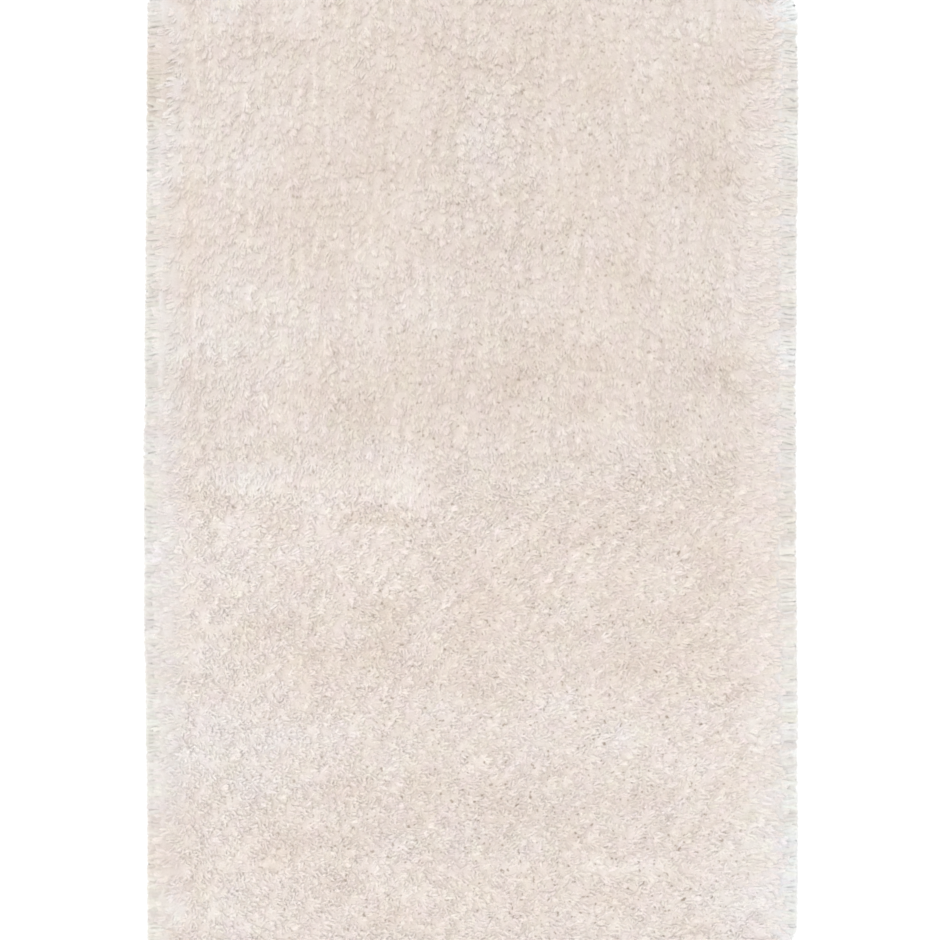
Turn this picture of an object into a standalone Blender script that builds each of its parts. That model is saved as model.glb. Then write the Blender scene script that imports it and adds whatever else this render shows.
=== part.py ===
"""A shag rug lying flat, as one solid: a lumpy slab of pile with pointed locks round its rim.

Metres, +Z up. The origin is the middle of the flat underside, X runs across the rug and Y along it.
"""

import math
import random

import bmesh
import bpy
from mathutils import Vector, noise
from mathutils.geometry import delaunay_2d_cdt

# Driving dimensions
RUG_WIDTH = 1.520  # over the tips of the locks
RUG_LENGTH = 2.290
RUG_THICKNESS = 0.040  # floor to the highest lump
SIDE_BOW = 0.008  # the long sides bow this far towards -X halfway along
CORNER_RADIUS = 0.032  # of the slab's wall, inside the locks

# Locks of pile round the rim
LOCK_COUNT = 300
LOCK_REACH = 0.020  # from the slab's wall to a lock's tip
LOCK_REACH_LOSS = 0.40  # the share of that reach which the shortest lock lacks
LOCK_SWAY = 0.007  # how far a tip leans along the rim, either way
FULL_LOCK_EVERY = 5  # each fifth lock has the full reach
LOCK_WAIST = {"out": 0.52, "width": 0.58, "top": 0.62}  # shares of reach, root width and root height
LOCK_TIP_LIFT = (0.0015, 0.0050)

# Rounded shoulder, from the wall inwards: (inset, share of the thickness, deepest dent)
WALL_SHARE = 0.50
SHOULDER = [(0.009, 0.76, 0.002), (0.025, 0.94, 0.008)]

# Lumps of the pile's top: one point in three is a lump, and the rest are the hollows round it
POINT_PITCH = 0.039
POINT_JITTER = 0.24  # of the pitch
LUMP_RISE = 0.020  # from the deepest hollow to the highest lump
LUMP_DROP = (0.0, 0.25)  # shares of the rise that a lump or a hollow lies below the highest lump
HOLLOW_DROP = (0.60, 1.0)
SWELL_LENGTH = 0.30  # of the broad swells under the lumps
SWELL_SHARE = 0.20  # of the rise that the swells take
CLEAR_OF_SHOULDER = 0.55  # of the pitch

PILE_COLOUR = (0.78, 0.70, 0.64, 1.0)
PILE_ROUGHNESS = 0.95
SEED = 11


def clear_scene():
    for obj in list(bpy.data.objects):
        bpy.data.objects.remove(obj, do_unlink=True)


def rim_stations(width, length, radius, count):
    """Evenly spaced (point, outward direction) pairs round a rectangle with rounded corners."""
    straight_x, straight_y = width - 2 * radius, length - 2 * radius
    arc = math.pi / 2 * radius
    step = 2 * (straight_x + straight_y + 2 * arc) / count
    # Each side starts at a corner's end, runs along its heading and turns left round the next corner.
    sides = [
        (Vector((width / 2, -straight_y / 2)), 90, straight_y),
        (Vector((straight_x / 2, length / 2)), 180, straight_x),
        (Vector((-width / 2, straight_y / 2)), 270, straight_y),
        (Vector((-straight_x / 2, -length / 2)), 0, straight_x),
    ]
    stations, at, begun = [], 0.0, 0.0
    for start, heading, straight in sides:
        angle = math.radians(heading)
        along = Vector((math.cos(angle), math.sin(angle)))
        out = Vector((along.y, -along.x))
        while at < begun + straight + arc - 1e-9 and len(stations) < count:
            run = at - begun
            if run <= straight:
                stations.append((start + along * run, out.copy()))
            else:
                turn = (run - straight) / radius
                centre = start + along * straight - out * radius
                direction = out * math.cos(turn) + along * math.sin(turn)
                stations.append((centre + direction * radius, direction))
            at += step
        begun += straight + arc
    return stations


def bowed(x, y):
    """The x of a point once the rug has taken its bow, which leaves the rug's box centred."""
    return x + SIDE_BOW * (0.5 - math.cos(math.pi * y / RUG_LENGTH) ** 2)


def pile_height(x, y, drop):
    """Height of the pile at an inner point, which lies a share of the lumps' rise below the highest."""
    swell = 0.5 + 0.5 * noise.noise(Vector((x / SWELL_LENGTH, y / SWELL_LENGTH, SEED)))
    total = SWELL_SHARE * min(max(swell, 0.0), 1.0) + (1 - SWELL_SHARE) * drop
    return RUG_THICKNESS - LUMP_RISE * total


def inner_points(half_width, half_length, chance):
    """Staggered rows of jittered points inside a rectangle, as (place, drop) pairs."""
    row_pitch = POINT_PITCH * math.sqrt(3) / 2
    rows = int(2 * half_length / row_pitch)
    columns = int(2 * half_width / POINT_PITCH)
    points = []
    for row in range(rows + 1):
        y = (row - rows / 2) * row_pitch
        shift = POINT_PITCH / 2 * (row % 2)
        for column in range(columns + 1 - row % 2):
            x = (column - columns / 2) * POINT_PITCH + shift
            jitter = Vector((chance.uniform(-1, 1), chance.uniform(-1, 1))) * POINT_JITTER * POINT_PITCH
            # Counted along the two slanted rows, every third point has only hollows for neighbours.
            is_lump = (column - row // 2 - row) % 3 == 0
            drop = chance.uniform(*(LUMP_DROP if is_lump else HOLLOW_DROP))
            points.append((Vector((x, y)) + jitter, drop))
    return points


def add_ring(mesh, stations, inset, height, dent, chance):
    """One loop of vertices this far inside the wall, each up to a dent's depth below this height."""
    ring = []
    for point, out in stations:
        place = point - out * inset
        ring.append(mesh.verts.new((bowed(place.x, place.y), place.y, height - dent * chance.random())))
    return ring


def bridge(mesh, outer, inner):
    """Quads between two loops, facing out and up, in the order of the outer loop."""
    faces = []
    for i in range(len(outer)):
        j = (i + 1) % len(outer)
        faces.append(mesh.faces.new((outer[i], outer[j], inner[j], inner[i])))
    return faces


def add_lumpy_top(mesh, ring, stations, inset, chance):
    """Fills the innermost loop with triangles over the inner points."""
    border = [point - out * inset for point, out in stations]
    half_width = max(p.x for p in border) - CLEAR_OF_SHOULDER * POINT_PITCH
    half_length = max(p.y for p in border) - CLEAR_OF_SHOULDER * POINT_PITCH
    inside = inner_points(half_width, half_length, chance)
    count = len(border)
    rim_edges = [(i, (i + 1) % count) for i in range(count)]
    places = border + [place for place, _ in inside]
    # Output 1 keeps only what lies inside the constrained loop.
    flat, _, triangles, origins, _, _ = delaunay_2d_cdt(places, rim_edges, [], 1, 1e-6)
    verts = []
    for place, origin in zip(flat, origins):
        if origin[0] < count:
            verts.append(ring[origin[0]])
            continue
        height = pile_height(place.x, place.y, inside[origin[0] - count][1])
        verts.append(mesh.verts.new((bowed(place.x, place.y), place.y, height)))
    for triangle in triangles:
        mesh.faces.new([verts[i] for i in triangle])


def pull_lock(mesh, wall, out, reach, sway, lift):
    """Draws one quad of the wall out into a lock that lies on the floor: a waist, then a pointed tip."""
    rim = Vector((-out.y, out.x, 0.0))
    outward = Vector((out.x, out.y, 0.0))
    middle = sum((v.co for v in wall.verts), Vector()) / len(wall.verts)
    waist = bmesh.ops.extrude_discrete_faces(mesh, faces=[wall])["faces"][0]
    for vert in waist.verts:
        side = (vert.co - middle).dot(rim) * LOCK_WAIST["width"] + sway * LOCK_WAIST["out"]
        depth = (vert.co - middle).dot(outward)
        place = middle + rim * side + outward * (depth + reach * LOCK_WAIST["out"])
        vert.co = Vector((place.x, place.y, vert.co.z * LOCK_WAIST["top"]))
    tip = middle + outward * reach + rim * sway
    bmesh.ops.poke(mesh, faces=[waist])["verts"][0].co = Vector((tip.x, tip.y, lift))


def make_rug():
    chance = random.Random(SEED)
    wall_width = RUG_WIDTH - SIDE_BOW - 2 * LOCK_REACH
    wall_length = RUG_LENGTH - 2 * LOCK_REACH
    stations = rim_stations(wall_width, wall_length, CORNER_RADIUS, LOCK_COUNT)

    mesh = bmesh.new()
    foot = add_ring(mesh, stations, 0.0, 0.0, 0.0, chance)
    ring = add_ring(mesh, stations, 0.0, RUG_THICKNESS * WALL_SHARE, 0.0, chance)
    walls = bridge(mesh, foot, ring)
    mesh.faces.new(list(reversed(foot)))
    for inset, share, dent in SHOULDER:
        inner = add_ring(mesh, stations, inset, RUG_THICKNESS * share, dent, chance)
        bridge(mesh, ring, inner)
        ring = inner
    add_lumpy_top(mesh, ring, stations, inset, chance)

    for i, wall in enumerate(walls):
        out = stations[i][1] + stations[(i + 1) % LOCK_COUNT][1]
        loss = 0.0 if i % FULL_LOCK_EVERY == 0 else LOCK_REACH_LOSS * chance.random()
        sway = LOCK_SWAY * chance.uniform(-1, 1)
        pull_lock(mesh, wall, out.normalized(), LOCK_REACH * (1 - loss), sway, chance.uniform(*LOCK_TIP_LIFT))

    bmesh.ops.triangulate(mesh, faces=mesh.faces[:])
    bmesh.ops.recalc_face_normals(mesh, faces=mesh.faces[:])
    data = bpy.data.meshes.new("shag_rug")
    mesh.to_mesh(data)
    mesh.free()
    data.shade_smooth()
    rug = bpy.data.objects.new("shag_rug", data)
    bpy.context.scene.collection.objects.link(rug)
    rug.data.materials.append(pile_material())
    return rug


def pile_material():
    material = bpy.data.materials.new("cream_pile")
    material.use_nodes = True
    shader = material.node_tree.nodes["Principled BSDF"]
    shader.inputs["Base Color"].default_value = PILE_COLOUR
    shader.inputs["Roughness"].default_value = PILE_ROUGHNESS
    shader.inputs["Metallic"].default_value = 0.0
    return material


clear_scene()
make_rug()
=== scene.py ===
import math

import bpy
import numpy as np
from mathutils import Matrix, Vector
from mathutils.geometry import delaunay_2d_cdt


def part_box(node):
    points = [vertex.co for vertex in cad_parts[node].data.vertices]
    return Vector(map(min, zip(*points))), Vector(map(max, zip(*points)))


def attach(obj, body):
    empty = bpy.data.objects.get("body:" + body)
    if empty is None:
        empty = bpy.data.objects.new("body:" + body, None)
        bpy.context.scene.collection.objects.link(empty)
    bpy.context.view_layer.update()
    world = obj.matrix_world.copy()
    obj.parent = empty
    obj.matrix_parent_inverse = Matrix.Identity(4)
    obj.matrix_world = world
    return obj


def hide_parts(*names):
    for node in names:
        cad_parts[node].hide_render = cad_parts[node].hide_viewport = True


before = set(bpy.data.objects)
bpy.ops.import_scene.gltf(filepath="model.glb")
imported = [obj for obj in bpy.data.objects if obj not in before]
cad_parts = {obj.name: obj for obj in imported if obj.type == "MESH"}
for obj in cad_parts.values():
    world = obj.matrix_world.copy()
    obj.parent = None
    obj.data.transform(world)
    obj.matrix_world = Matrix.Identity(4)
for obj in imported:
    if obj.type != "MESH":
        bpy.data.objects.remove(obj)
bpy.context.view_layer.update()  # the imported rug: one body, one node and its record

low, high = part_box("shag_rug")

# The rug in the photo, which looks straight down on it. Its width there gives the size of a pixel.
photo = {"frame": 940, "rugWidth": 650.5, "middleX": 470.5, "middleY": 470.0}
rug = {
    "width": high[0] - low[0],
    "length": high[1] - low[1],
    "sideBow": 0.008,  # the long sides bow towards -X
    "rimFall": 0.031,  # the pile hangs this far past the backing's edge
    "cornerLeft": 0.020,  # the backing's corner radius, at the left and at the right
    "cornerRight": 0.050,
    "seed": 7,
}
pixel = rug["width"] / photo["rugWidth"]
halfWidth = rug["width"] / 2 - rug["sideBow"] / 2 - rug["rimFall"]
halfLength = rug["length"] / 2 - rug["rimFall"]
dice = np.random.default_rng(rug["seed"])


# A socket whose sums and products add Math nodes to its tree.
class Wire:
    def __init__(self, socket):
        self.socket = socket

    def out(self, name):
        return Wire(self.socket.node.outputs[name])

    def math(self, operation, *values):
        settings = {"operation": operation}
        return addNode(self.socket.id_data, "ShaderNodeMath", settings, dict(enumerate(values)))

    def __add__(self, other):
        return self.math("ADD", self, other)

    def __sub__(self, other):
        return self.math("SUBTRACT", self, other)

    def __rsub__(self, other):
        return self.math("SUBTRACT", other, self)

    def __mul__(self, other):
        return self.math("MULTIPLY", self, other)

    def __truediv__(self, other):
        return self.math("DIVIDE", self, other)

    def __rtruediv__(self, other):
        return self.math("DIVIDE", other, self)

    __radd__ = __add__
    __rmul__ = __mul__


# Any node: its settings first, then the values or links of its sockets.
def addNode(tree, kind, settings=None, inputs=None, output=0):
    made = tree.nodes.new(kind)
    for name, value in (settings or {}).items():
        if name == "stops":
            setStops(made.color_ramp, value)
        else:
            setattr(made, name, value)
    for key, value in (inputs or {}).items():
        if isinstance(value, Wire):
            tree.links.new(value.socket, made.inputs[key])
        else:
            made.inputs[key].default_value = value
    return Wire(made.outputs[output])


def setStops(ramp, stops):
    while len(ramp.elements) < len(stops):
        ramp.elements.new(0.5)
    for element, (place, colour) in zip(ramp.elements, stops):
        element.position = place
        element.color = (*colour, 1.0)


def vectorMath(tree, operation, *values):
    return addNode(tree, "ShaderNodeVectorMath", {"operation": operation}, dict(enumerate(values)))


def scaleVector(tree, vector, amount):
    return addNode(tree, "ShaderNodeVectorMath", {"operation": "SCALE"}, {0: vector, "Scale": amount})


def sine(value):
    return value.math("SINE", value)


def cosine(value):
    return value.math("COSINE", value)


# Finishes

def newMaterial(name, roughness, sheen):
    material = bpy.data.materials.new(name)
    material.use_nodes = True
    shader = material.node_tree.nodes["Principled BSDF"]
    shader.inputs["Roughness"].default_value = roughness
    shader.inputs["Specular IOR Level"].default_value = 0.15
    shader.inputs["Sheen Weight"].default_value = sheen
    shader.inputs["Diffuse Roughness"].default_value = 1.0
    return material, material.node_tree, shader


# A mix of two colours. The node's colour sockets are its inputs 6 and 7 and its output 2.
def mixed(tree, share, first, second, blend="MIX"):
    settings = {"data_type": "RGBA", "blend_type": blend}
    return addNode(tree, "ShaderNodeMix", settings, {0: share, 6: first, 7: second}, 2)


def multiplied(tree, first, second):
    return mixed(tree, 1.0, first, second, "MULTIPLY")


def darkened(tree, colour, light):
    grey = addNode(tree, "ShaderNodeCombineColor", {}, {0: light, 1: light, 2: light})
    return multiplied(tree, colour, grey)


# Goes from the first number to the last as the value goes from its start to its end.
def ranged(tree, value, start, end, first, last):
    return addNode(tree, "ShaderNodeMapRange", {}, {"Value": value, 1: start, 2: end, 3: first, 4: last})


def noise(tree, place, scale, detail, dimensions="3D"):
    return addNode(tree, "ShaderNodeTexNoise", {"noise_dimensions": dimensions},
                   {"Vector": place, "Scale": scale, "Detail": detail})


# From dull to light, as a strand's shade goes from 0 to 1.
creamShades = [
    (0.00, (0.620, 0.551, 0.487)),
    (0.25, (0.690, 0.626, 0.568)),
    (0.50, (0.762, 0.703, 0.653)),
    (0.75, (0.828, 0.773, 0.726)),
    (1.00, (0.888, 0.842, 0.804)),
]
# What it is multiplied by, in steps: from beige to a cool white, and from a green cast to a pink one.
casts = [
    (0.0, (0.962, 0.935, 0.905)),
    (0.4, (0.935, 0.935, 0.935)),
    (1.0, (0.876, 0.940, 0.991)),
]
blushes = [(0.0, (0.971, 1.000, 0.966)), (0.5, (0.979, 0.979, 0.979)), (1.0, (0.987, 0.957, 0.992))]
castSteps, blushSteps = 12, 6


def creamColour(tree, shade, cast, blush):
    colour = addNode(tree, "ShaderNodeValToRGB", {"stops": creamShades}, {0: shade})
    for value, stops in ((cast, casts), (blush, blushes)):
        colour = multiplied(tree, colour, addNode(tree, "ShaderNodeValToRGB", {"stops": stops}, {0: value}))
    return colour


yarnLook = {
    "roughness": 0.90,
    "sheen": 0.10,
    "fibres": 0.22,  # how uneven its fibres look
    "fibresAcross": 900,
    "fibresAlong": 9,
    "rootShade": 0.03,  # painted shade: lighter by this much on its way from the shaded root to the tip
    "tipFrom": 0.84,  # the painted highlight on the tip begins and is whole at these shares of the way
    "tipTo": 0.95,
    "tipHighlight": 0.04,
}


def yarnMaterial():
    material, tree, shader = newMaterial("cream_yarn", yarnLook["roughness"], yarnLook["sheen"])
    # On the strands' map u is a strand's shade, and root to tip runs up one step of its tint.
    place = addNode(tree, "ShaderNodeUVMap", {"uv_map": "OFBake"})
    shade = addNode(tree, "ShaderNodeSeparateXYZ", {}, {0: place})
    step = castSteps * blushSteps * shade.out("Y")
    along = step.math("FRACT", step)
    step = step.math("FLOOR", step)
    cast = step.math("MODULO", step, castSteps) / (castSteps - 1)
    blush = step.math("FLOOR", step / castSteps) / (blushSteps - 1)
    colour = creamColour(tree, shade, cast, blush)
    # Uneven fibres, painted shade towards the root, and a painted highlight on the tip, where it catches
    # the light.
    spun = {0: yarnLook["fibresAcross"] * shade, 1: yarnLook["fibresAlong"] * along}
    fibres = noise(tree, addNode(tree, "ShaderNodeCombineXYZ", {}, spun), 1.0, 1.0, "2D")
    tip = ranged(tree, along, yarnLook["tipFrom"], yarnLook["tipTo"], 0.0, yarnLook["tipHighlight"])
    light = 1.00 + yarnLook["rootShade"] * along + tip + yarnLook["fibres"] * (fibres - 0.5)
    tree.links.new(darkened(tree, colour, light).socket, shader.inputs["Base Color"])
    return material


bedLooks = ("shade", "cast", "blush")
# Painted shadow in the gaps between tufts: its colour, the noise's scale, and where a spot of it starts.
gapShade = {
    "colour": (0.30, 0.22, 0.15, 1.0),
    "scale": 118.0,
    "from": 0.64,  # the noise from which a spot of painted shadow begins, and at which it is whole
    "to": 0.69,
}


def rootMaterial():
    material, tree, shader = newMaterial("matted_roots", 0.95, 0.0)
    place = addNode(tree, "ShaderNodeTexCoord", {}, {}, "Object")
    split = addNode(tree, "ShaderNodeSeparateXYZ", {}, {0: place})
    tufts, fluff = noise(tree, place, 220.0, 3.0), noise(tree, place, 260.0, 2.0)
    # The bed's corners carry the looks of the pile over them, its painted light and shade among them.
    shade, cast, blush = (addNode(tree, "ShaderNodeAttribute", {"attribute_name": name}, {}, "Fac")
                          for name in bedLooks)
    colour = creamColour(tree, shade + 0.5 * (tufts - 0.4), cast, blush)
    # Painted shadow: small dark spots where the pile stands apart and shade falls between its tufts: more
    # of them towards the lower end, fewer at the left, and few in the bands along both sides.
    parted = ranged(tree, split.out("Y"), 0.40, -0.10, 0.52, 0.68)
    parted = parted * ranged(tree, split, -0.60, 0.10, 0.60, 1.0)
    parted = parted * ranged(tree, split.math("ABSOLUTE", split), 0.55, 0.75, 1.0, 0.2)
    gapShadeNoise = noise(tree, place, gapShade["scale"], 1.0)
    gapShadeShare = parted * ranged(tree, gapShadeNoise, gapShade["from"], gapShade["to"], 0.0, 1.0)
    colour = mixed(tree, gapShadeShare, colour, gapShade["colour"])
    tree.links.new(darkened(tree, colour, 0.96).socket, shader.inputs["Base Color"])
    bump = addNode(tree, "ShaderNodeBump", {}, {"Strength": 0.9, "Distance": 0.004, "Height": fluff})
    tree.links.new(bump.socket, shader.inputs["Normal"])
    return material


backing = {
    "thickness": 0.003,
    "threadPitch": 0.0036,
    "yarn": (0.66, 0.60, 0.50, 1.0),
    # painted shade in the dips between the threads
    "dipShade": (0.40, 0.34, 0.26, 1.0),
    "edgePitch": 0.012,  # between the corners of its outline
}


def canvasMaterial():
    material, tree, shader = newMaterial("woven_backing", 0.88, 0.0)
    place = addNode(tree, "ShaderNodeTexCoord", {}, {}, "Object")
    split = addNode(tree, "ShaderNodeSeparateXYZ", {}, {0: place})
    turns = math.pi / backing["threadPitch"]
    weft, warp = sine(split * turns), sine(split.out("Y") * turns)
    # A plain weave: each thread dips where the other one crosses over it.
    height = 0.5 + 0.5 * (weft * warp)
    slubs = noise(tree, place, 90.0, 4.0)
    # Painted shade: darker where the threads dip, mixed with the slubs' uneven colour.
    colour = mixed(tree, height * 0.7 + slubs * 0.4 - 0.05, backing["dipShade"], backing["yarn"])
    tree.links.new(colour.socket, shader.inputs["Base Color"])
    bump = addNode(tree, "ShaderNodeBump", {},
                   {"Strength": 0.6, "Distance": 0.0008, "Height": height + slubs})
    tree.links.new(bump.socket, shader.inputs["Normal"])
    return material


# Where the pile lies and how light it looks

def bow(y):
    return rug["sideBow"] * (0.5 - np.cos(np.pi * y / rug["length"]) ** 2)


def smoothStep(value, start, end):
    t = np.clip((value - start) / (end - start), 0, 1)
    return t * t * (3 - 2 * t)


def turned(x, y, angle):
    return x * np.cos(angle) - y * np.sin(angle), x * np.sin(angle) + y * np.cos(angle)


# A table's rows as dictionaries.
def rowsOf(columns, table):
    return [dict(zip(columns, row)) for row in table]


# How far inside the backing's edge a point lies, and which way is out from there.
def fromEdge(x, y):
    radius = np.where(x > 0, rug["cornerRight"], rug["cornerLeft"])
    overX = np.abs(x) - (halfWidth - radius)
    overY = np.abs(y) - (halfLength - radius)
    inCorner = (overX > 0) & (overY > 0)
    reach = np.where(inCorner, np.hypot(overX, overY), np.maximum(overX, overY))
    outX = np.where(inCorner, overX / np.maximum(reach, 1e-9), overX >= overY) * np.sign(x)
    outY = np.where(inCorner, overY / np.maximum(reach, 1e-9), overX < overY) * np.sign(y)
    return radius - reach, outX, outY


# Smooth noise from a few waves, about -1 to 1, with swells of about this size.
def swells(x, y, size, seed):
    waves = np.random.default_rng(seed)
    total = np.zeros_like(x)
    for _ in range(9):
        heading, phase = waves.uniform(0, 2 * np.pi, 2)
        rate = 2 * np.pi / (size * waves.uniform(0.7, 1.5))
        total += np.sin(rate * (x * np.cos(heading) + y * np.sin(heading)) + phase)
    return total / 4


# Brushed patches, in metres from the rug's middle: how far they reach to each side, their turn in
# degrees, the way the pile lies there in degrees with how flat it lies, and how much lighter its pile is
# painted, for the light that pile brushed that way catches.
patchColumns = ("x", "y", "across", "along", "turn", "heading", "flat", "shade")
patches = [
    (-0.127, -0.040, 0.050, 0.066, 15, -80, 0.88, 0.08),  # painted brightest, with a band painted lighter to its left
    (-0.370, -0.020, 0.240, 0.046, 0, -100, 0.66, 0.07),
    (-0.193, -0.116, 0.110, 0.014, 0, 90, 0.10, -0.08),  # and a crescent under it, standing up and painted darker, as shadow under the tips
    (-0.550, 0.783, 0.085, 0.155, 0, -90, 0.80, 0.02),
    (-0.560, 0.430, 0.120, 0.120, 0, -90, 0.76, 0.03),
    (-0.200, 0.416, 0.120, 0.100, 0, -90, 0.74, 0.00),
    (0.534, 0.537, 0.140, 0.050, -45, -100, 0.80, 0.08),
    (-0.317, -0.206, 0.190, 0.076, 0, 20, 0.48, -0.04),
    (0.352, -0.257, 0.180, 0.055, 0, 10, 0.50, 0.02),
    (-0.127, -0.608, 0.125, 0.070, 0, 20, 0.48, 0.02),
    (0.179, -0.549, 0.070, 0.032, 0, -30, 0.56, 0.06),
    (0.000, -0.585, 0.660, 0.065, 0, 20, 0.42, 0.04),
    (0.345, -0.925, 0.094, 0.016, 0, 10, 0.56, 0.10),
    (-0.680, -1.030, 0.020, 0.034, 0, -120, 0.80, 0.12),
    (-0.590, 1.087, 0.042, 0.020, 0, -90, 0.85, 0.20),
    (0.695, 1.075, 0.070, 0.022, -25, -45, 0.85, 0.20),
    (-0.480, 1.012, 0.120, 0.036, 0, -90, 0.75, -0.08),
    (-0.723, 0.909, 0.018, 0.110, 0, 180, 0.50, -0.22),
    (-0.220, 0.722, 0.120, 0.026, 0, -90, 0.80, -0.07),
    (0.109, 0.234, 0.050, 0.080, 0, -90, 0.50, -0.05),
    (0.535, 0.731, 0.084, 0.092, 0, -90, 0.80, -0.05),
    (0.564, 0.243, 0.066, 0.072, 0, -90, 0.50, -0.06),
    (-0.613, 0.150, 0.050, 0.120, 0, -90, 0.52, -0.04),
    (0.312, -0.124, 0.160, 0.080, 0, 0, 0.30, -0.04),
    (0.571, -0.243, 0.042, 0.058, 0, 0, 0.25, -0.06),
    (-0.212, -0.383, 0.058, 0.100, 0, 0, 0.25, -0.06),
    (0.034, 0.572, 0.130, 0.530, 0, -90, 0.64, -0.02),
    (0.010, -0.800, 0.600, 0.080, 0, 30, 0.36, -0.04),
    (-0.712, -0.222, 0.046, 0.290, 0, 180, 0.42, 0.00),
]
# Broad, soft patches of painted light and shade, where the brushed pile catches more or less light, with a
# cast that goes with them.
broadLightColumns = ("x", "y", "across", "along", "shade", "cast")
broadLights = [
    (-0.51, 0.40, 0.17, 0.62, 0.06, 0.04),
    (-0.42, 0.60, 0.16, 0.16, -0.08, -0.06),
    (-0.62, 0.74, 0.14, 0.12, 0.06, 0.00),
    (-0.67, 0.58, 0.05, 0.16, -0.09, -0.15),
    (-0.73, 1.01, 0.04, 0.10, -0.10, 0.00),
    (0.56, -0.83, 0.19, 0.30, 0.08, -0.05),
    (0.69, -0.87, 0.07, 0.22, 0.06, 0.08),
    (-0.55, -0.72, 0.19, 0.26, 0.11, 0.00),
    (-0.46, -0.90, 0.16, 0.06, -0.07, -0.08),
    (-0.72, -0.92, 0.05, 0.15, -0.12, -0.15),
    (-0.63, -0.26, 0.10, 0.18, 0.08, 0.00),
    (-0.58, -0.50, 0.07, 0.08, 0.06, 0.00),
    (-0.42, -0.43, 0.12, 0.14, -0.08, 0.00),
    (-0.54, -0.12, 0.20, 0.08, -0.09, 0.00),
    (0.05, -0.37, 0.46, 0.24, -0.05, 0.00),
    (0.03, -0.33, 0.12, 0.14, -0.10, 0.00),
    (0.46, -0.48, 0.16, 0.09, -0.06, 0.00),
    (-0.23, -0.40, 0.10, 0.09, -0.06, 0.00),
    (-0.18, -0.19, 0.30, 0.13, 0.10, 0.00),
    (-0.14, -0.10, 0.12, 0.03, -0.06, 0.00),
    (0.30, -0.17, 0.34, 0.17, -0.05, 0.00),
    (0.62, -0.14, 0.12, 0.12, -0.07, 0.00),
    (0.31, 0.00, 0.11, 0.05, 0.05, 0.00),
    (0.17, -0.43, 0.06, 0.09, 0.06, 0.00),
    (0.00, 0.99, 0.45, 0.13, -0.08, -0.06),
    (0.60, 0.95, 0.08, 0.14, -0.06, 0.00),
    (0.70, 0.76, 0.06, 0.16, 0.05, 0.00),
    (-0.22, 0.79, 0.20, 0.07, -0.05, 0.00),
    (0.03, 0.81, 0.09, 0.16, 0.11, 0.00),
    (0.10, 0.57, 0.28, 0.15, -0.05, -0.03),
    (0.02, 0.65, 0.10, 0.10, 0.05, 0.00),
    (0.25, 0.74, 0.10, 0.14, -0.06, 0.00),
    (0.37, 0.48, 0.10, 0.06, -0.06, 0.00),
    (-0.20, 0.15, 0.34, 0.12, -0.10, 0.00),
    (-0.24, 0.06, 0.14, 0.06, 0.08, 0.00),
    (0.28, 0.27, 0.20, 0.12, -0.10, -0.04),
    (0.55, 0.19, 0.10, 0.15, -0.03, 0.00),
    (0.19, 0.48, 0.05, 0.15, 0.06, 0.00),
    (-0.08, 0.38, 0.26, 0.07, 0.09, 0.03),
    (-0.35, 1.06, 0.35, 0.05, 0.07, 0.00),
    (0.47, 1.02, 0.13, 0.11, 0.10, 0.00),
    (0.62, 0.38, 0.16, 0.16, 0.05, 0.00),
    (0.42, 0.12, 0.20, 0.12, 0.06, 0.00),
    (-0.60, 0.14, 0.15, 0.22, 0.04, 0.00),
    (0.08, -0.67, 0.28, 0.06, 0.05, 0.00),
    (0.00, -1.02, 0.70, 0.10, 0.06, -0.10),
    (0.64, -1.02, 0.10, 0.09, 0.10, 0.00),
    (-0.60, -1.02, 0.12, 0.07, 0.07, 0.00),
]
# Partings, where the pile falls away to both sides of a line: a dark, thin crease.
partingColumns = ("x", "y", "toX", "toY", "width", "strength")
partings = [
    (-0.656, 0.070, -0.652, -0.520, 0.008, 0.25),
    (0.072, 1.100, 0.074, 0.935, 0.010, 0.60),
    (-0.740, -0.936, 0.540, -0.944, 0.010, 0.50),
    (0.345, -0.940, 0.560, -0.946, 0.010, 0.50),
]
# Random changes of the shade and of the blush: how large their swells are, how strong, and their seed.
shadeSwells = [(0.30, 0.03, 6), (0.100, 0.055, 8), (0.055, 0.02, 9)]
blushSwells = [(0.30, 0.06, 14), (0.110, 0.15, 15), (0.050, 0.18, 16)]
lay = {
    "lying": 0.72,  # how flat the upper half lies, from 0 to 1
    "lyingWay": -90,  # and which way, in degrees: it is brushed along the rug
    "lyingMore": 0.26,  # flatter still towards the upper end
    "leaning": 0.38,  # the lower half stands up more
    "leaningWay": 30,  # and leans to the right
    "swing": 14,  # how far both ways swing, in degrees
    "uneven": 0.10,
    "loose": 0.12,
    "changesFrom": -0.12,  # the upper half's lie begins and is whole at these places along the rug
    "changesTo": 0.14,
    "rightBand": 0.125,  # the band of pile that lies outwards along the right edge
    "leftBand": 0.060,
}
# The pile's base looks. Its shade is painted: lighter in the lower half, whose standing pile falls in more
# of its own shade, and darker towards the upper end, where the pile lies flatter and catches more light.
look = {
    "shade": 0.76,
    "upperShade": -0.13,  # the change in the upper half
    "endShade": -0.06,  # and towards the upper end
    "cast": 0.30,
    "blush": 0.61,
    "cooler": 1.35,  # where the pile is painted lighter, its cream is painted a little cooler too
}
strokes = {"size": 0.028, "seed": 17, "shade": 0.15, "lie": 0.16}
# The looks of the bands along the sides, where the pile lies outwards: the painted light and shade of their
# pile in the upper and the lower half, and their cast. A band is whole up to its narrow distance inside the
# backing's edge, and gone at its wide one.
sideColumns = ("way", "narrow", "wide", "upper", "lower", "cast")
sides = [
    (1, 0.060, 0.125, 0.68, 0.75, 0.40),
    (-1, 0.035, 0.070, 0.65, 0.71, 0.55),
    (1, -0.005, 0.030, 0.77, 0.77, 0.72),
    (-1, -0.005, 0.030, 0.70, 0.67, 0.62),
]


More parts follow.
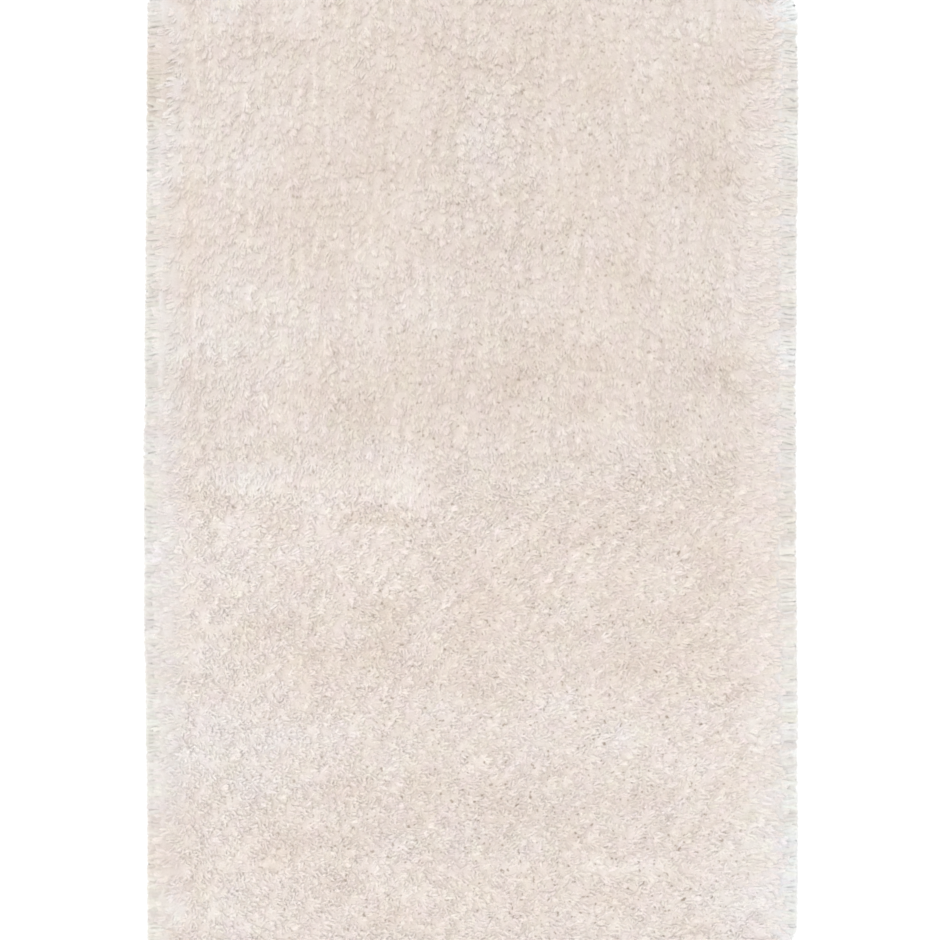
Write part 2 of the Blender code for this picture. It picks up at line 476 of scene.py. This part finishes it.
def shadeSides(x, y, upper, here):
    inside, outX, _ = fromEdge(x, y)
    for side in rowsOf(sideColumns, sides):
        share = (outX * side["way"] > 0.5) * (1 - smoothStep(inside, side["narrow"], side["wide"]))
        here["shade"] += share * (side["upper"] * upper + side["lower"] * (1 - upper) - here["shade"])
        here["cast"] += share * (side["cast"] - here["cast"])


def paintBroadLightAndTone(x, y, here):
    for broadLight in rowsOf(broadLightColumns, broadLights):
        share = np.exp(-((x - broadLight["x"]) / broadLight["across"]) ** 2 - ((y - broadLight["y"]) / broadLight["along"]) ** 2)
        here["shade"] += share * broadLight["shade"]
        here["cast"] += share * broadLight["cast"]
    # These changes are longer across the rug than along it.
    for size, amount, seed in shadeSwells:
        here["shade"] += amount * swells(0.55 * x, y, size, seed)


def brushPatches(x, y, here):
    for patch in rowsOf(patchColumns, patches):
        across, along = turned(x - patch["x"], y - patch["y"], -math.radians(patch["turn"]))
        share = np.exp(-((across / patch["across"]) ** 4 + (along / patch["along"]) ** 4))
        way = math.radians(patch["heading"])
        here["lieX"] += share * (patch["flat"] * math.cos(way) - here["lieX"])
        here["lieY"] += share * (patch["flat"] * math.sin(way) - here["lieY"])
        # Painted light and shade: brushed pile is painted lighter or darker for the light it catches.
        here["shade"] += share * patch["shade"]


def openPartings(x, y, here):
    for parting in rowsOf(partingColumns, partings):
        runX, runY = parting["toX"] - parting["x"], parting["toY"] - parting["y"]
        run = math.hypot(runX, runY)
        runX, runY = runX / run, runY / run
        awayX, awayY = x - parting["x"], y - parting["y"]
        ahead, aside = awayX * runX + awayY * runY, awayY * runX - awayX * runY
        push = smoothStep(ahead, 0, 0.05) * smoothStep(run - ahead, 0, 0.05) * parting["strength"]
        push = push * np.exp(-(aside / parting["width"]) ** 2) * np.tanh(aside / 0.003)
        here["lieX"] += -runY * push
        here["lieY"] += runX * push


def tintPile(x, y, here):
    for size, amount, seed in blushSwells:
        pink = amount * swells(x, y, size, seed)
        here["blush"] += pink
        here["cast"] += 0.18 * pink + 0.12 * amount * swells(x, y, size, seed + 10)


# Tufts that follow each other look alike, as long strokes up the rug, aslant in its lower half.
def drawStrokes(x, y, upper, here):
    for amount, degrees, steep in ((upper, 95, 0.30), (1.1 * (1 - upper), 64, 0.36)):
        way = math.radians(degrees)
        across, along = x * math.sin(way) - y * math.cos(way), x * math.cos(way) + y * math.sin(way)
        stroke = amount * swells(across, steep * along, strokes["size"], strokes["seed"])
        here["shade"] += strokes["shade"] * stroke
        here["lieX"] += strokes["lie"] * stroke


# The pile's lie at points of the rug, as a vector that is one long where it lies flat, and its looks there.
def pileAt(x, y):
    upper, farUp = smoothStep(y, lay["changesFrom"], lay["changesTo"]), smoothStep(y, 0.2, 0.8)
    swing, uneven = lay["swing"] * swells(x, y, 0.30, 3), lay["uneven"] * swells(x, y, 0.22, 4)
    wander = 2 * np.pi * swells(x, y, 0.060, 5)
    # The upper half lies down, while the lower half leans and, near the left edge, stands straight up.
    lying, leaning = np.radians(lay["lyingWay"] + swing), np.radians(lay["leaningWay"] + 2 * swing)
    flatter = upper * (lay["lying"] + uneven + lay["lyingMore"] * farUp)
    steeper = (1 - upper) * (lay["leaning"] + uneven) * smoothStep(x, -0.665, -0.54)
    loose = (1 - upper) * lay["loose"]
    here = {
        "lieX": flatter * np.cos(lying) + steeper * np.cos(leaning) + loose * np.cos(wander),
        "lieY": flatter * np.sin(lying) + steeper * np.sin(leaning) + loose * np.sin(wander),
        "shade": look["shade"] + look["upperShade"] * upper + look["endShade"] * farUp,
        "cast": np.full_like(x, look["cast"]),
        "blush": np.full_like(x, look["blush"]),
    }
    shadeSides(x, y, upper, here)
    before = here["shade"].copy()
    paintBroadLightAndTone(x, y, here)
    brushPatches(x, y, here)
    openPartings(x, y, here)
    # Where the pile is painted lighter, it is painted a little cooler too.
    here["cast"] += look["cooler"] * (here["shade"] - before)
    tintPile(x, y, here)
    drawStrokes(x, y, upper, here)
    return here


pile = {
    "tuftPitch": 0.0178,
    "strandsPerTuft": 6,
    "tuftSpread": 0.0095,
    "length": 0.041,
    "girth": 0.0026,  # a strand's radius, to the corners of its three-sided yarn
    "thinnest": 0.65,  # shares of that girth
    "thickest": 1.2,
    "tilt": (0.05, 0.22, 0.45),  # at the root, in radians: upright, more where flat, more over the edge
    "bend": (0.42, 0.85, 0.50),  # and from root to tip
    "gather": 0.55,  # how far a tuft's tips draw together
    "rootHeight": 0.0025,
    "rimStart": 0.009,  # the field of tufts begins this far inside the backing's edge
    "lowStart": -0.004,  # but just past it at the lower end
    "endStart": -0.012,  # and further past it at the upper end, where the pile lies inwards
    "rowInset": 0.011,  # one more row of tufts follows the lower end
    "rowPitch": 0.012,
    "bands": 5,
}
# How far tufts and strands stray: in their turn and lie, in shares of their length, and in their looks.
stray = {
    "tuftTurn": 0.18,
    "tuftLie": 0.08,
    "strandLie": 0.15,
    "tuftLength": 0.035,
    "strandLength": 0.05,
    "tuftShade": 0.02,
    "strandShade": 0.05,
    "tuftBlush": 0.11,
    "castStep": 0.4,  # shares of a step
    "blushStep": 0.25,
}


# How much the pile lies outwards and how much it belongs to the rim, from 0 to 1.
def outwardAt(inside, outX, outY):
    rightBand = (outX > 0.5) * (1 - smoothStep(inside, lay["rightBand"] * 0.5, lay["rightBand"]))
    leftBand = (outX < -0.5) * (1 - smoothStep(inside, lay["leftBand"] * 0.5, lay["leftBand"])) * 0.6
    # The rim lies outwards past the edge at the upper end, on it at the lower end, inside it at the sides.
    start = np.where(outY > 0.5, -0.018, np.where(outY < -0.5, 0, 0.015))
    rim = 1 - smoothStep(inside, start, start + np.where(np.abs(outY) > 0.5, 0.016, 0.025))
    return np.maximum(np.maximum(rightBand * 0.85, leftBand), rim * 0.9), rim


def curved(amounts, flat, fall):
    upright, lying, over = amounts
    return upright + lying * flat + over * fall


# The strands of these tufts, as arrays with a row for each tuft and a column for each of its strands.
def strandsOf(tuftX, tuftY, count, spread):
    tufts, shape = len(tuftX), (len(tuftX), count)
    angle = dice.uniform(0, 2 * np.pi, shape)
    out = spread * np.sqrt(dice.uniform(0, 1, shape))
    x, y = tuftX[:, None] + out * np.cos(angle), tuftY[:, None] + out * np.sin(angle)
    here, looks = pileAt(tuftX, tuftY), pileAt(x, y)
    inside, outX, outY = fromEdge(tuftX, tuftY)
    outward, rim = outwardAt(inside, outX, outY)
    lieX = here["lieX"] + outward * (0.9 * outX - here["lieX"])
    lieY = here["lieY"] + outward * (0.9 * outY - here["lieY"])
    # A tuft leans as one, a little off the way of its neighbours, and spreads where it stands up.
    turn = dice.normal(0, 1, tufts) * (stray["tuftTurn"] + 0.12 * outward - 0.20 * rim)
    lieX, lieY = turned(lieX, lieY, turn)
    lieX = lieX + dice.normal(0, stray["tuftLie"], tufts)
    lieY = lieY + dice.normal(0, stray["tuftLie"], tufts)
    farUp = smoothStep(tuftY, 0.2, 0.9)
    free = (1 - 0.25 * outward - 0.35 * rim) * (1 - 0.45 * farUp)
    upright = 1 - np.clip(np.hypot(lieX, lieY) / 0.6, 0, 1)
    loose = ((stray["strandLie"] + 0.06 * upright) * free)[:, None]
    strandX = lieX[:, None] + dice.normal(0, 1, shape) * loose
    strandY = lieY[:, None] + dice.normal(0, 1, shape) * loose
    flat = np.clip(np.hypot(strandX, strandY), 0.02, 1.1)
    longer = dice.normal(0, stray["tuftLength"], tufts)[:, None]
    longer = longer + dice.normal(0, stray["strandLength"], shape)
    # At the edge it starts lower and bends over further, down to the floor.
    outwards = np.clip((strandX * outX[:, None] + strandY * outY[:, None]) / flat, 0, 1)
    fall = (1 - smoothStep(inside, -0.004, 0.032))[:, None] * outwards
    # Thicker and calmer in the bands along the sides, thicker in the lower half, calmer high up.
    lower = 1 - smoothStep(tuftY, lay["changesFrom"], lay["changesTo"])
    wide = (1 + 0.20 * outward + 0.10 * lower)[:, None]
    calm = ((1 - 0.75 * outward) * (1 - 0.30 * farUp))[:, None]
    castStray, blushStray = stray["castStep"] / (castSteps - 1), stray["blushStep"] / (blushSteps - 1)
    cast = looks["cast"] + dice.uniform(-castStray, castStray, shape)
    blush = looks["blush"] + dice.normal(0, stray["tuftBlush"], (tufts, 1))
    blush = blush + dice.uniform(-blushStray, blushStray, shape)
    thick = wide * dice.uniform(pile["thinnest"], pile["thickest"], shape)
    shadeStray = dice.normal(0, stray["tuftShade"], (tufts, 1))
    shadeStray = shadeStray + dice.normal(0, stray["strandShade"], shape)
    return {
        "x": x, "y": y,
        "layX": strandX / np.hypot(strandX, strandY), "layY": strandY / np.hypot(strandX, strandY),
        "tilt": curved(pile["tilt"], flat, fall), "bend": curved(pile["bend"], flat, fall),
        "length": pile["length"] * (1 + np.clip(longer, -0.15, 0.11)), "thick": thick,
        "pullX": (tuftX[:, None] - x) * pile["gather"], "pullY": (tuftY[:, None] - y) * pile["gather"],
        "shade": looks["shade"] + calm * shadeStray, "cast": cast, "blush": blush,
    }


# Staggered rows of tufts over the backing, each a little out of place.
def fieldTufts():
    pitch, rowPitch = pile["tuftPitch"], pile["tuftPitch"] * math.sqrt(3) / 2
    rows = np.arange(-int(halfLength / rowPitch) - 1, int(halfLength / rowPitch) + 2)
    columns = np.arange(-int(halfWidth / pitch) - 1, int(halfWidth / pitch) + 2)
    column, row = np.meshgrid(columns, rows)
    x = (column + 0.25 * (row % 2)) * pitch + dice.normal(0, 0.14 * pitch, column.shape)
    y = row * rowPitch + dice.normal(0, 0.35 * pitch, row.shape)
    inside, _, outY = fromEdge(x, y)
    ends = np.where(outY > 0.5, pile["endStart"], pile["lowStart"])
    keep = inside > np.where(np.abs(outY) > 0.5, ends, pile["rimStart"])
    # One more row follows the lower end, where the rim's strands part from the field's.
    edgeX, edgeY = edgeLine(pile["rowInset"], pile["rowPitch"])
    edgeX, edgeY = (line + dice.normal(0, 0.002, len(line)) for line in (edgeX, edgeY))
    low = fromEdge(edgeX, edgeY)[2] < -0.3
    return np.concatenate([x[keep], edgeX[low]]), np.concatenate([y[keep], edgeY[low]])


# Strands along two lines that follow the backing's edge, the outer ones nearly flat on the floor.
rimColumns = ("inset", "depth", "pitch", "tiltLow", "tiltHigh", "bendLow", "bendHigh")
rimRows = [
    (0.001, 0.001, 0.0018, 0.95, 1.35, 0.65, 1.10),
    (0.004, 0.014, 0.0018, 0.55, 0.95, 1.05, 1.45),
]
rimForm = {
    "spread": 0.0005,
    "thicker": 1.06,  # than the field's strands
    "cast": 0.12,  # more of it than there, and less of the blush
    "blush": -0.22,
    "endTurn": 0.30,  # how far its strands stray from straight out at the ends, in radians
    "reach": 0.0075,  # how far past the rim's fall the longest go
    "waves": 0.0012,  # how far the edge wanders
    "rightBow": 0.005,  # the right edge is a little fuller halfway along
    "rightMore": 0.0004,
    "shorter": 0.16,  # the share that the shortest lack
}


# Points at this pitch around the backing, this far inside its edge: along a side, then around its corner.
def edgeLine(inset, pitch):
    halfX, halfY = halfWidth - inset, halfLength - inset
    left, right = (max(rug[name] - inset, 0.004) for name in ("cornerLeft", "cornerRight"))
    stretches = [
        (1, -1, right, 2 * halfX - left - right),
        (1, 1, right, 2 * halfY - 2 * right),
        (-1, 1, left, 2 * halfX - left - right),
        (-1, -1, left, 2 * halfY - 2 * left),
    ]
    places = []
    for number, (signX, signY, radius, straight) in enumerate(stretches):
        centre = np.array([signX * (halfX - radius), signY * (halfY - radius)])
        way, arc = math.radians(90 * number), math.pi / 2 * radius
        along, out = np.array([math.cos(way), math.sin(way)]), np.array([math.sin(way), -math.cos(way)])
        steps = int(round((straight + arc) / pitch))
        for run in (np.arange(steps) + 0.5) * (straight + arc) / steps:
            if run <= straight:
                places.append(centre - along * (straight - run) + out * radius)
            else:
                turn = (run - straight) / radius
                places.append(centre + (out * math.cos(turn) + along * math.sin(turn)) * radius)
    return np.array(places).T


def rimStrands():
    lots = []
    for edge in rowsOf(rimColumns, rimRows):
        x, y = edgeLine(edge["inset"], edge["pitch"])
        _, outX, outY = fromEdge(x, y)
        deeper = edge["depth"] * dice.uniform(0, 1, len(x))
        x, y = x - deeper * outX, y - deeper * outY
        lot = strandsOf(x, y, 1, rimForm["spread"])
        shape = lot["x"].shape
        lot["thick"] = rimForm["thicker"] * lot["thick"]
        lot["cast"] = lot["cast"] + rimForm["cast"]
        lot["blush"] = lot["blush"] + rimForm["blush"]
        # At the ends they all point outwards.
        ends = (np.abs(outY) > 0.5)[:, None]
        awayX, awayY = turned(outX, outY, dice.normal(0, rimForm["endTurn"], len(x)))
        lot["layX"] = np.where(ends, awayX[:, None], lot["layX"])
        lot["layY"] = np.where(ends, awayY[:, None], lot["layY"])
        lot["tilt"] = dice.uniform(edge["tiltLow"], edge["tiltHigh"], shape)
        lot["bend"] = dice.uniform(edge["bendLow"], edge["bendHigh"], shape)
        # Each is as long as takes its tip to the rim.
        fall = rug["rimFall"] + rimForm["reach"] + edge["inset"] + deeper
        fall = fall + rimForm["waves"] * swells(x, y, 0.25, 12)
        fuller = rimForm["rightBow"] * np.cos(np.pi * y / rug["length"]) + rimForm["rightMore"]
        shorter = 1 - rimForm["shorter"] * dice.uniform(0, 1, shape) ** 3
        goal = (fall + (outX > 0.5) * fuller)[:, None] * shorter
        lot["length"] = goal * lot["bend"] / (np.cos(lot["tilt"]) - np.cos(lot["tilt"] + lot["bend"]))
        lots.append(lot)
    return {key: np.concatenate([lot[key] for lot in lots]) for key in lots[0]}


# A strand's form

fullTurn = 6.283  # in radians


def strandTree(material):
    tree = bpy.data.node_groups.new("pile_strands", "GeometryNodeTree")
    face = tree.interface
    face.new_socket("Roots", in_out="INPUT", socket_type="NodeSocketGeometry")
    inputs = (("Sides", "Int"), ("Joints", "Int"), ("Girth", "Float"), ("Wave", "Float"), ("Seed", "Int"))
    for name, kind in inputs:
        face.new_socket(name, in_out="INPUT", socket_type="NodeSocket" + kind)
    face.new_socket("Pile", in_out="OUTPUT", socket_type="NodeSocketGeometry")
    roots = addNode(tree, "NodeGroupInput")

    def named(name, kind="FLOAT"):
        return addNode(tree, "GeometryNodeInputNamedAttribute", {"data_type": kind}, {"Name": name})

    def store(shape, name, kind, domain, value):
        return addNode(tree, "GeometryNodeStoreNamedAttribute", {"data_type": kind, "domain": domain},
                       {"Geometry": shape, "Name": name, "Value": value})

    # One straight strand, a unit long and a unit wide, drawn to a point at both ends.
    tube = addNode(tree, "GeometryNodeMeshCylinder", {"fill_type": "NGON"}, {
        "Vertices": roots.out("Sides"), "Side Segments": roots.out("Joints"), "Radius": 1.0, "Depth": 1.0})
    spot = addNode(tree, "ShaderNodeSeparateXYZ", {}, {0: addNode(tree, "GeometryNodeInputPosition")})
    even = spot.out("Z") + 0.5
    wide = even.math("GREATER_THAN", even * (1 - even), 0.001)
    along = even + 1.3 * even * even * (1 - even)
    shaped = addNode(tree, "ShaderNodeCombineXYZ", {}, {0: spot * wide, 1: spot.out("Y") * wide, 2: along})
    pointed = addNode(tree, "GeometryNodeSetPosition", {}, {"Geometry": tube, "Position": shaped})
    merged = addNode(tree, "GeometryNodeMergeByDistance", {}, {"Geometry": pointed, "Distance": 0.001})
    # Turned so that a flat side faces up on a strand that lies over.
    facing = math.pi / 2 - math.pi / roots.out("Sides")
    turn = addNode(tree, "ShaderNodeCombineXYZ", {}, {2: facing})
    merged = addNode(tree, "GeometryNodeTransform", {}, {"Geometry": merged, "Rotation": turn})
    strand = store(merged, "local", "FLOAT_VECTOR", "POINT", addNode(tree, "GeometryNodeInputPosition"))

    phase = addNode(tree, "FunctionNodeRandomValue", {"data_type": "FLOAT"},
                    {2: 0.0, 3: fullTurn, "Seed": roots.out("Seed")}, 1)
    rooted = store(roots, "root", "FLOAT_VECTOR", "POINT", addNode(tree, "GeometryNodeInputPosition"))
    rooted = store(rooted, "phase", "FLOAT", "POINT", phase)
    planted = addNode(tree, "GeometryNodeInstanceOnPoints", {}, {"Points": rooted, "Instance": strand})
    real = addNode(tree, "GeometryNodeRealizeInstances", {}, {"Geometry": planted})

    # It bends over evenly from its tilt at the root, in the way that it lies.
    local = addNode(tree, "ShaderNodeSeparateXYZ", {}, {0: named("local", "FLOAT_VECTOR")})
    t, tilt, bend, length = local.out("Z"), named("tilt"), named("bend"), named("length")
    lean = tilt + bend * t
    reach = length * (cosine(tilt) - cosine(lean)) / bend
    rise = length * (sine(lean) - sine(tilt)) / bend
    way = named("way", "FLOAT_VECTOR")
    up = (0.0, 0.0, 1.0)
    side = vectorMath(tree, "CROSS_PRODUCT", up, way)
    spine = vectorMath(tree, "ADD", scaleVector(tree, way, sine(lean)), scaleVector(tree, up, cosine(lean)))
    over = vectorMath(tree, "CROSS_PRODUCT", spine, side)
    girth = roots.out("Girth") * named("thick")
    sway = roots.out("Wave") * sine(4.5 * t + named("phase")) * t
    terms = [
        scaleVector(tree, way, reach),
        scaleVector(tree, up, rise),
        scaleVector(tree, named("pull", "FLOAT_VECTOR"), t * t),
        scaleVector(tree, side, local * girth + sway),
        scaleVector(tree, over, local.out("Y") * girth),
    ]
    placed = named("root", "FLOAT_VECTOR")
    for term in terms:
        placed = vectorMath(tree, "ADD", placed, term)
    # What would pass through the floor lies on it.
    placed = vectorMath(tree, "MAXIMUM", placed, (-9.0, -9.0, 0.0003))
    bent = addNode(tree, "GeometryNodeSetPosition", {}, {"Geometry": real, "Position": placed})
    u = 0.03 + 0.94 * named("shade") + 0.001 * local
    v = (named("tint") + 0.03 + 0.94 * t) / (castSteps * blushSteps)
    mapped = addNode(tree, "ShaderNodeCombineXYZ", {}, {0: u, 1: v})
    drawn = store(bent, "OFBake", "FLOAT2", "CORNER", mapped)
    painted = addNode(tree, "GeometryNodeSetMaterial", {}, {"Geometry": drawn, "Material": material})
    tree.links.new(painted.socket, tree.nodes.new("NodeGroupOutput").inputs[0])
    return tree


# The inputs of that tree.
strandForm = {"Sides": 3, "Joints": 3, "Girth": pile["girth"], "Wave": 0.0024, "Seed": 5}


# Plants strands on their roots and leaves one plain mesh, shaded smooth or with flat sides.
def growPile(name, lot, tree, material, smooth=True):
    flatLot = {key: value.ravel() for key, value in lot.items()}
    count = len(flatLot["x"])
    roots = bpy.data.meshes.new(name + "_roots")
    roots.vertices.add(count)
    height = np.full(count, pile["rootHeight"])
    places = np.stack([flatLot["x"] + bow(flatLot["y"]), flatLot["y"], height], 1)
    roots.vertices.foreach_set("co", places.astype(np.float32).ravel())
    zero = np.zeros(count)
    vectors = {
        "way": np.stack([flatLot["layX"], flatLot["layY"], zero], 1),
        "pull": np.stack([flatLot["pullX"], flatLot["pullY"], zero], 1),
    }
    for key, value in vectors.items():
        layer = roots.attributes.new(key, "FLOAT_VECTOR", "POINT")
        layer.data.foreach_set("vector", value.astype(np.float32).ravel())
    castStep = np.round(np.clip(flatLot["cast"], 0, 1) * (castSteps - 1))
    blushStep = np.round(np.clip(flatLot["blush"], 0, 1) * (blushSteps - 1))
    numbers = {
        "tilt": flatLot["tilt"], "bend": flatLot["bend"], "length": flatLot["length"],
        "thick": flatLot["thick"], "shade": np.clip(flatLot["shade"], 0, 1),
        "tint": castStep + castSteps * blushStep,
    }
    for key, value in numbers.items():
        layer = roots.attributes.new(key, "FLOAT", "POINT")
        layer.data.foreach_set("value", value.astype(np.float32))
    planted = bpy.data.objects.new(name + "_planted", roots)
    bpy.context.scene.collection.objects.link(planted)
    modifier = planted.modifiers.new("strands", "NODES")
    modifier.node_group = tree
    for item in tree.interface.items_tree:
        if item.name in strandForm:
            modifier[item.identifier] = strandForm[item.name]
    grown = plainCopy(planted, name, smooth)
    for key in [*vectors, *numbers, "local", "root", "phase"]:
        if key in grown.data.attributes:
            grown.data.attributes.remove(grown.data.attributes[key])
    print("grew", name, "with", count, "strands and", len(grown.data.loops) // 3, "or so triangles")
    return grown


def plainCopy(source, name, smooth):
    graph = bpy.context.evaluated_depsgraph_get()
    data = bpy.data.meshes.new_from_object(source.evaluated_get(graph), depsgraph=graph)
    data.name = name
    if smooth:
        data.shade_smooth()
    made = bpy.data.objects.new(name, data)
    bpy.context.scene.collection.objects.link(made)
    bpy.data.objects.remove(source)
    return made


def newPiece(name, corners, faces, material):
    data = bpy.data.meshes.new(name)
    data.from_pydata([tuple(map(float, corner)) for corner in corners], [], faces)
    data.materials.append(material)
    data.validate()
    made = bpy.data.objects.new(name, data)
    bpy.context.scene.collection.objects.link(made)
    return made


# The woven backing: the tufted cloth's own body, with its edge inside the pile.
def makeBacking(material):
    x, y = edgeLine(0.0, backing["edgePitch"])
    count = len(x)
    corners = [(px + bow(py), py, z) for z in (0.0, backing["thickness"]) for px, py in zip(x, y)]
    faces = [tuple(reversed(range(count))), tuple(range(count, 2 * count))]
    faces += [(i, (i + 1) % count, count + (i + 1) % count, count + i) for i in range(count)]
    return newPiece("backing", corners, faces, material)


bedForm = {
    "step": 0.0150,  # between its corners
    "jitter": 0.30,  # how far they stray, as a share of that
    "height": 0.0215,
    "rise": 0.0045,  # how high its lumps rise
    "skirt": 0.028,  # its thin skirt ends this far past the backing's edge
    "overhang": 0.016,  # and its round shoulder starts this far past it
    "shoulder": 0.040,  # the shoulder's width
    "hem": 0.0045,  # how high the skirt rises up to there
    "lip": 0.001,  # the height of the skirt's edge, and of its underside
    "foot": 0.0006,
    "fieldInset": 0.024,  # the corners stray from here inwards
}


# The matted foot of the pile: a low, lumpy body that closes the gaps between the strands.
def makeRootBed(material):
    step, skirt, reach = bedForm["step"], bedForm["skirt"], bedForm["overhang"]
    lines = [edgeLine(inset, step) for inset in (-skirt, -0.023, -reach, -reach + 0.005, 0.0, 0.014)]
    rim = len(lines[0][0])
    columns, rows = int(2 * halfWidth / step), int(2 * halfLength / step)
    x, y = (places.ravel() for places in np.meshgrid((np.arange(columns) - (columns - 1) / 2) * step,
                                                     (np.arange(rows) - (rows - 1) / 2) * step))
    x = x + dice.uniform(-1, 1, len(x)) * bedForm["jitter"] * step
    y = y + dice.uniform(-1, 1, len(y)) * bedForm["jitter"] * step
    keep = fromEdge(x, y)[0] > bedForm["fieldInset"]
    lines.append((x[keep], y[keep]))
    x, y = (np.concatenate([line[axis] for line in lines]) for axis in (0, 1))
    corners, _, faces, *_ = delaunay_2d_cdt([Vector(place) for place in zip(x, y)], [], [], 0, 1e-6)
    x, y = np.array([tuple(corner) for corner in corners]).T
    inside, _, outY = fromEdge(x, y)
    up = np.clip((inside + reach) / bedForm["shoulder"], 0, 1)
    bulge = np.sqrt(1 - (1 - up) ** 2)
    bulge += outY ** 2 * (smoothStep(up, 0, 1) - bulge)  # at the ends they fall away sooner
    lumps = bedForm["rise"] * (0.6 * dice.uniform(-1, 1, len(x)) + 0.4 * swells(x, y, 0.05, 9))
    hem = bedForm["hem"] * smoothStep(inside, -skirt, -reach)
    top = bedForm["lip"] + hem + bulge * (bedForm["height"] - bedForm["hem"] + up * lumps)
    places = list(zip(x + bow(y), y, top))
    faces = [tuple(face) for face in faces]
    # The outermost line comes again just over the floor, for the skirt's edge and the flat underside.
    under = len(places)
    places += [(x[i] + bow(y[i]), y[i], bedForm["foot"]) for i in range(rim)]
    faces += [(under + i, under + (i + 1) % rim, (i + 1) % rim, i) for i in range(rim)]
    faces.append(tuple(under + i for i in reversed(range(rim))))
    piece = newPiece("root_bed", places, faces, material)
    corners = np.array([corner.co for corner in piece.data.vertices])
    looks = pileAt(corners[:, 0] - bow(corners[:, 1]), corners[:, 1])
    for name in bedLooks:
        layer = piece.data.attributes.new(name, "FLOAT", "POINT")
        layer.data.foreach_set("value", np.clip(looks[name], 0, 1).astype(np.float32))
    piece.data.shade_smooth()
    return piece


studio = {
    "floorSize": 60.0,
    "floorTop": -0.0004,
    "floor": (0.93, 0.93, 0.93, 1.0),
    "sky": 0.45,
    "boxSize": 2.7,
    "boxHeight": 7.5,
    "boxAside": (-0.2, 0.2),
    "boxPower": 480.0,
    "lens": 85.0,
    "sensor": 36.0,
    "pileTop": 0.030,  # the height at which a pixel has its size
    "filterWidth": 2.1,  # in pixels, as soft as the photo
}


def makeFloor():
    material = bpy.data.materials.new("pale_floor")
    material.use_nodes = True
    shader = material.node_tree.nodes["Principled BSDF"]
    shader.inputs["Base Color"].default_value = studio["floor"]
    shader.inputs["Roughness"].default_value = 0.9
    half = studio["floorSize"] / 2
    corners = [(half * signX, half * signY, studio["floorTop"])
               for signX, signY in ((-1, -1), (1, -1), (1, 1), (-1, 1))]
    newPiece("studio_floor", corners, [(0, 1, 2, 3)], material)


def makeLight():
    scene = bpy.context.scene
    scene.world = bpy.data.worlds.new("studio_sky")
    scene.world.use_nodes = True
    background = scene.world.node_tree.nodes["Background"]
    background.inputs["Color"].default_value = (1.0, 1.0, 1.0, 1.0)
    background.inputs["Strength"].default_value = studio["sky"]
    lamp = bpy.data.lights.new("softbox", "AREA")
    lamp.shape, lamp.size, lamp.energy = "SQUARE", studio["boxSize"], studio["boxPower"]
    box = bpy.data.objects.new("softbox", lamp)
    asideX, asideY = studio["boxAside"]
    box.location = (asideX, asideY, studio["boxHeight"])
    # It faces the rug's middle.
    aim = math.atan2(math.hypot(asideX, asideY), studio["boxHeight"])
    box.rotation_euler = (aim, 0.0, math.atan2(asideX, -asideY) + math.pi)
    scene.collection.objects.link(box)


def makeCamera():
    data = bpy.data.cameras.new("overhead")
    data.lens, data.sensor_width = studio["lens"], studio["sensor"]
    camera = bpy.data.objects.new("overhead", data)
    across = photo["frame"] * pixel
    height = studio["pileTop"] + across * studio["lens"] / studio["sensor"]
    half = photo["frame"] / 2
    camera.location = ((half - photo["middleX"]) * pixel, (photo["middleY"] - half) * pixel, height)
    scene = bpy.context.scene
    scene.collection.objects.link(camera)
    scene.camera = camera
    scene.view_settings.view_transform = "Standard"
    scene.view_settings.look = "None"
    scene.cycles.filter_width = studio["filterWidth"]


print("finishes")
yarn = yarnMaterial()
print("backing and root bed")
cloth = makeBacking(canvasMaterial())
bed = makeRootBed(rootMaterial())
print("pile")
tree = strandTree(yarn)
tuftX, tuftY = fieldTufts()
order = np.argsort(tuftY, kind="stable")
pilePieces = []
for number, part in enumerate(np.array_split(order, pile["bands"]), 1):
    lot = strandsOf(tuftX[part], tuftY[part], pile["strandsPerTuft"], pile["tuftSpread"])
    pilePieces.append(growPile("pile_band_%d" % number, lot, tree, yarn))
pilePieces.append(growPile("rim_pile", rimStrands(), tree, yarn, smooth=False))

for piece in [cloth, bed, *pilePieces]:
    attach(piece, "root")
    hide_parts("shag_rug")

print("studio")
makeFloor()
makeLight()
makeCamera()
